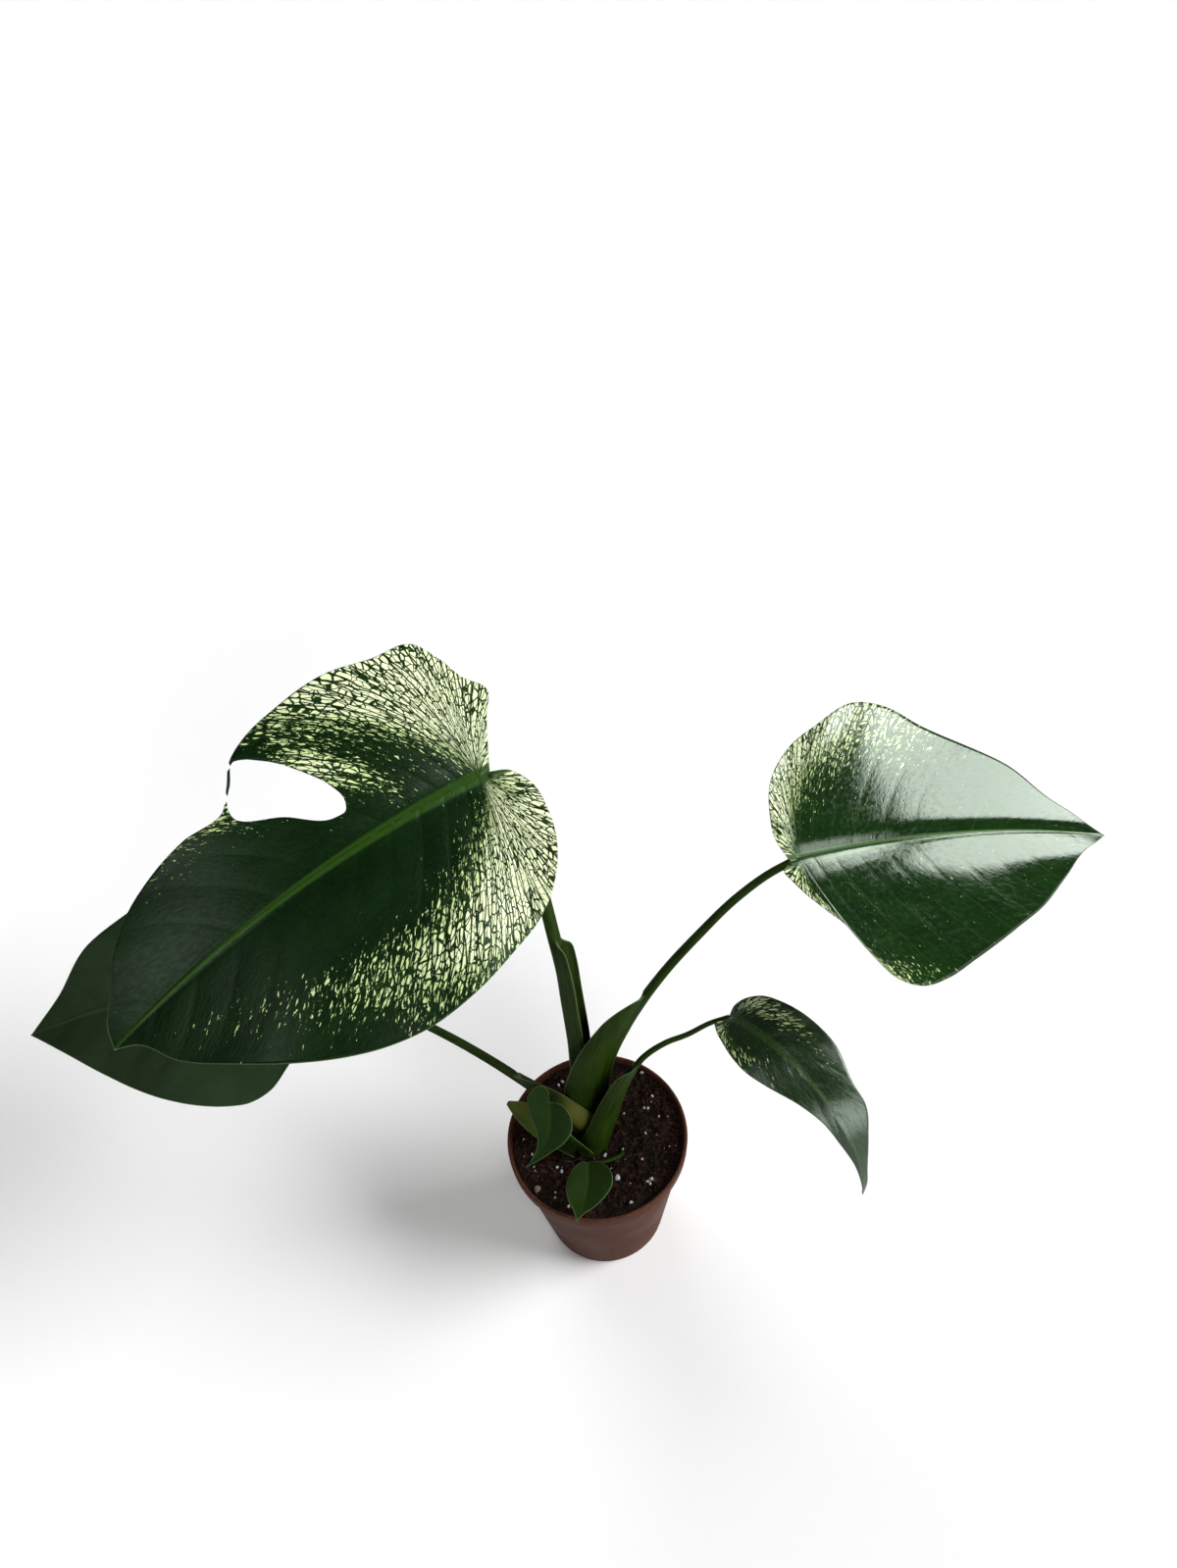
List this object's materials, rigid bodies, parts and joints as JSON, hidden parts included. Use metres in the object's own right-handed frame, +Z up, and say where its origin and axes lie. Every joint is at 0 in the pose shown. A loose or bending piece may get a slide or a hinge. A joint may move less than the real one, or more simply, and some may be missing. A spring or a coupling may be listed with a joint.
{
  "type": "potted monstera plant",
  "caption": "Variegated aroid house plant with broad heart-shaped marbled leaves on long sheathed petioles, growing in a round tapered nursery pot filled with potting mix.",
  "frame": {"origin": "centre of the pot's underside, on the surface that it stands on", "axes": "+Z up along the pot's axis; -Y towards the side that the leaves show their upper faces to; +X to the right of that view"},
  "size_m": [0.7101, 0.2512, 0.3904],
  "materials": {
    "pot_plastic": "moulded satin, red-brown",
    "potting_mix": "damp peat with perlite and bark",
    "marbled_leaf": "glossy, cream and mint speckles on dark green",
    "green_leaf": "satin dark green",
    "petiole": "satin green stalk",
    "bud_scale": "thin yellow-green, dry at the tip"
  },
  "bodies": {
    "root": {"pot": "pot_plastic", "soil": "potting_mix", "stem": "petiole", "petiole_large_marbled": "petiole", "petiole_glossy": "petiole", "petiole_shaded": "petiole", "petiole_hanging": "petiole", "petiole_young": "petiole", "petiole_seedling": "petiole", "bud_scale": "bud_scale", "blade_large_marbled": "marbled_leaf", "blade_glossy": "marbled_leaf", "blade_shaded": "green_leaf", "blade_hanging": "marbled_leaf", "blade_young": "green_leaf", "blade_seedling": "green_leaf"}
  },
  "joints": []
}
